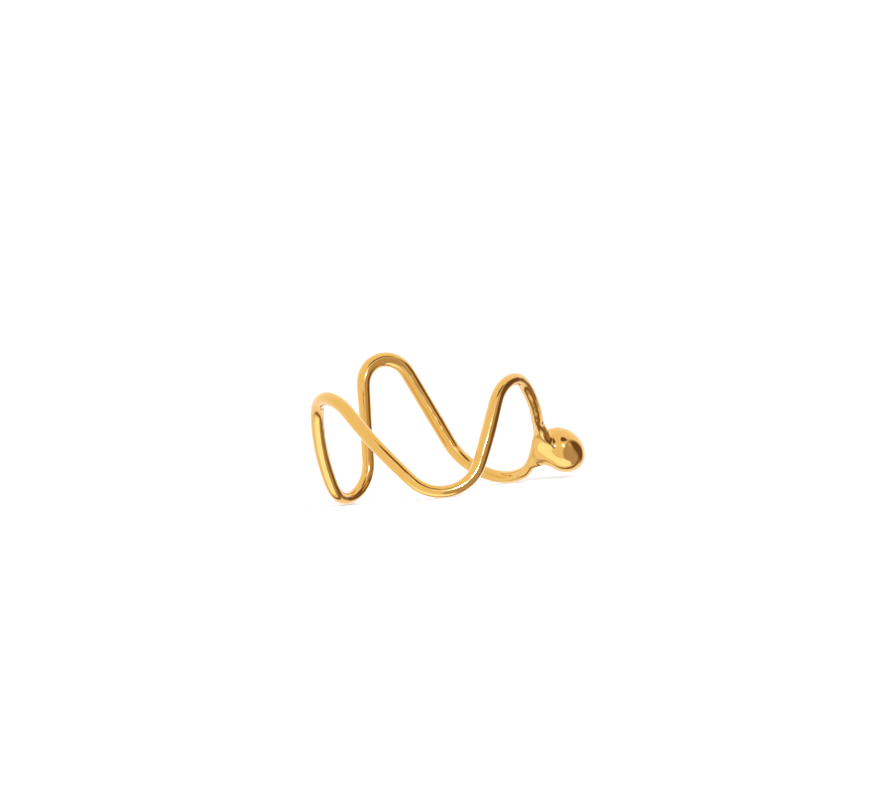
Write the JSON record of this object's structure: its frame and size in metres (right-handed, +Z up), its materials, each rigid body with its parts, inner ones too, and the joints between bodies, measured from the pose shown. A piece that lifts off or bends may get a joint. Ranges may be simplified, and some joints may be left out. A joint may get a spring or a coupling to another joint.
{
  "type": "wave ring",
  "caption": "Finger ring of round gold wire that waves up and down round the finger, with a drop-shaped bead fused to its side by a short neck.",
  "frame": {"origin": "on the table, below the middle of the ring's box", "axes": "+Z up, along the finger; the bead is on the +X side; -Y is the front"},
  "size_m": [0.0226, 0.0196, 0.0123],
  "materials": {
    "polished_gold": "cast, plated with yellow gold and polished to a mirror"
  },
  "bodies": {
    "root": {"wave_ring": "polished_gold"}
  },
  "joints": []
}
